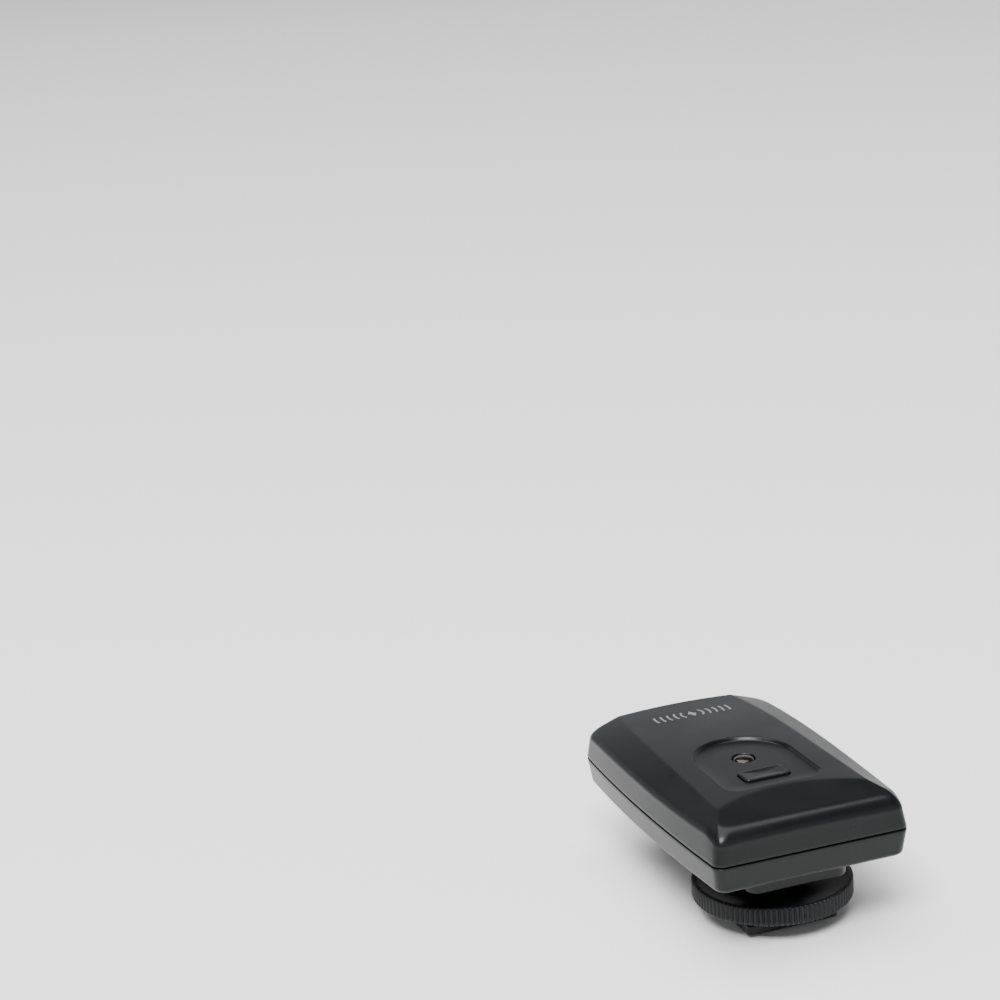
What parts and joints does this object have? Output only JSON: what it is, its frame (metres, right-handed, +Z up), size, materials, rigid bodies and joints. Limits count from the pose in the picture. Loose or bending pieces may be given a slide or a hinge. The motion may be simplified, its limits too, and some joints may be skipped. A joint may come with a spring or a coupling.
{
  "type": "wireless flash trigger",
  "caption": "Radio transmitter that slides into a camera accessory shoe, clamps with a knurled ring and fires remote flashes; has a test button and status lamp.",
  "frame": {"origin": "centre of the underside of the hot-shoe plate", "axes": "+Z up, out of the shoe; +Y towards the front of the camera, along the casing; +X to the right as seen from behind"},
  "size_m": [0.042, 0.0643, 0.0282],
  "materials": {
    "black_abs": "satin",
    "button_abs": "semi-gloss",
    "switch_plastic": "matte",
    "grey_plastic": "matte",
    "lamp_lens": "gloss",
    "board_laminate": "satin",
    "steel": "satin",
    "aluminium_can": "satin",
    "brass": "satin",
    "red_plastic": "satin",
    "white_plastic": "satin",
    "cell_wrap": "gloss",
    "black_nylon": "satin",
    "lead_black": "satin"
  },
  "bodies": {
    "housing": {"top_shell": "black_abs", "bottom_shell": "black_abs", "tact_switch_body": "switch_plastic", "status_lamp": "lamp_lens", "circuit_board": "board_laminate", "encoder_chip": "switch_plastic", "crystal_can": "steel", "capacitor": "aluminium_can", "antenna_coil": "brass", "channel_switch_body": "red_plastic", "sync_socket_body": "switch_plastic", "sync_socket_sleeve": "steel", "battery_cell": "cell_wrap", "positive_contact_plate": "steel", "negative_contact_plate": "steel", "cell_spring": "steel", "shoe_plate": "black_nylon", "threaded_stem": "black_nylon", "foot_retaining_plate": "steel", "contact_terminal": "brass", "contact_spring": "steel", "ground_contact_leaf": "brass", "casing_screw_rear_left": "steel", "casing_screw_rear_right": "steel", "casing_screw_front_left": "steel", "casing_screw_front_right": "steel", "board_screw_rear": "steel", "board_screw_front": "steel", "foot_screw_left": "steel", "foot_screw_right": "steel", "positive_lead": "red_plastic", "negative_lead": "lead_black", "hot_shoe_lead": "white_plastic"},
    "test_button": {"test_button": "button_abs"},
    "switch_plunger": {"tact_switch_plunger": "grey_plastic"},
    "pressure_washer": {"pressure_washer": "black_nylon"},
    "locking_ring": {"locking_ring": "black_nylon"},
    "battery_door": {"battery_door": "black_abs"},
    "channel_slider_1": {"channel_slider_1": "white_plastic"},
    "channel_slider_2": {"channel_slider_2": "white_plastic"},
    "channel_slider_3": {"channel_slider_3": "white_plastic"},
    "channel_slider_4": {"channel_slider_4": "white_plastic"},
    "contact_pin": {"centre_contact_pin": "brass"}
  },
  "joints": [
    {"name": "button_press", "type": "slide", "parent": "housing", "child": "test_button", "axis": [0, 0, -1], "range_m": [0, 0.0004], "stiffness_N_per_m": 600, "springref_m": -0.0005},
    {"name": "plunger_press", "type": "slide", "parent": "housing", "child": "switch_plunger", "axis": [0, 0, -1], "range_m": [0, 0.0004]},
    {"name": "washer_lift", "type": "slide", "parent": "housing", "child": "pressure_washer", "axis": [0, 0, 1], "range_m": [-0.001, 0.0025]},
    {"name": "ring_turn", "type": "hinge", "parent": "pressure_washer", "child": "locking_ring", "pos_m": [0, 0, 0.0052], "axis": [0, 0, 1], "range_deg": [-361, 901]},
    {"name": "door_slide", "type": "slide", "parent": "housing", "child": "battery_door", "axis": [0, 1, 0], "range_m": [0, 0.018]},
    {"name": "channel_1_slide", "type": "slide", "parent": "housing", "child": "channel_slider_1", "axis": [0, 0, 1], "range_m": [0, 0.0015]},
    {"name": "channel_2_slide", "type": "slide", "parent": "housing", "child": "channel_slider_2", "axis": [0, 0, 1], "range_m": [-0.0015, 0]},
    {"name": "channel_3_slide", "type": "slide", "parent": "housing", "child": "channel_slider_3", "axis": [0, 0, 1], "range_m": [0, 0.0015]},
    {"name": "channel_4_slide", "type": "slide", "parent": "housing", "child": "channel_slider_4", "axis": [0, 0, 1], "range_m": [0, 0.0015]},
    {"name": "contact_pin_press", "type": "slide", "parent": "housing", "child": "contact_pin", "axis": [0, 0, 1], "range_m": [0, 0.0007], "stiffness_N_per_m": 300, "springref_m": -0.0006, "deforming": ["contact_spring"]}
  ],
  "couplings": [
    {"joint": "plunger_press", "follows": "button_press", "ratio": 1},
    {"joint": "ring_turn", "follows": "washer_lift", "rad_per_m": 6283.2}
  ]
}
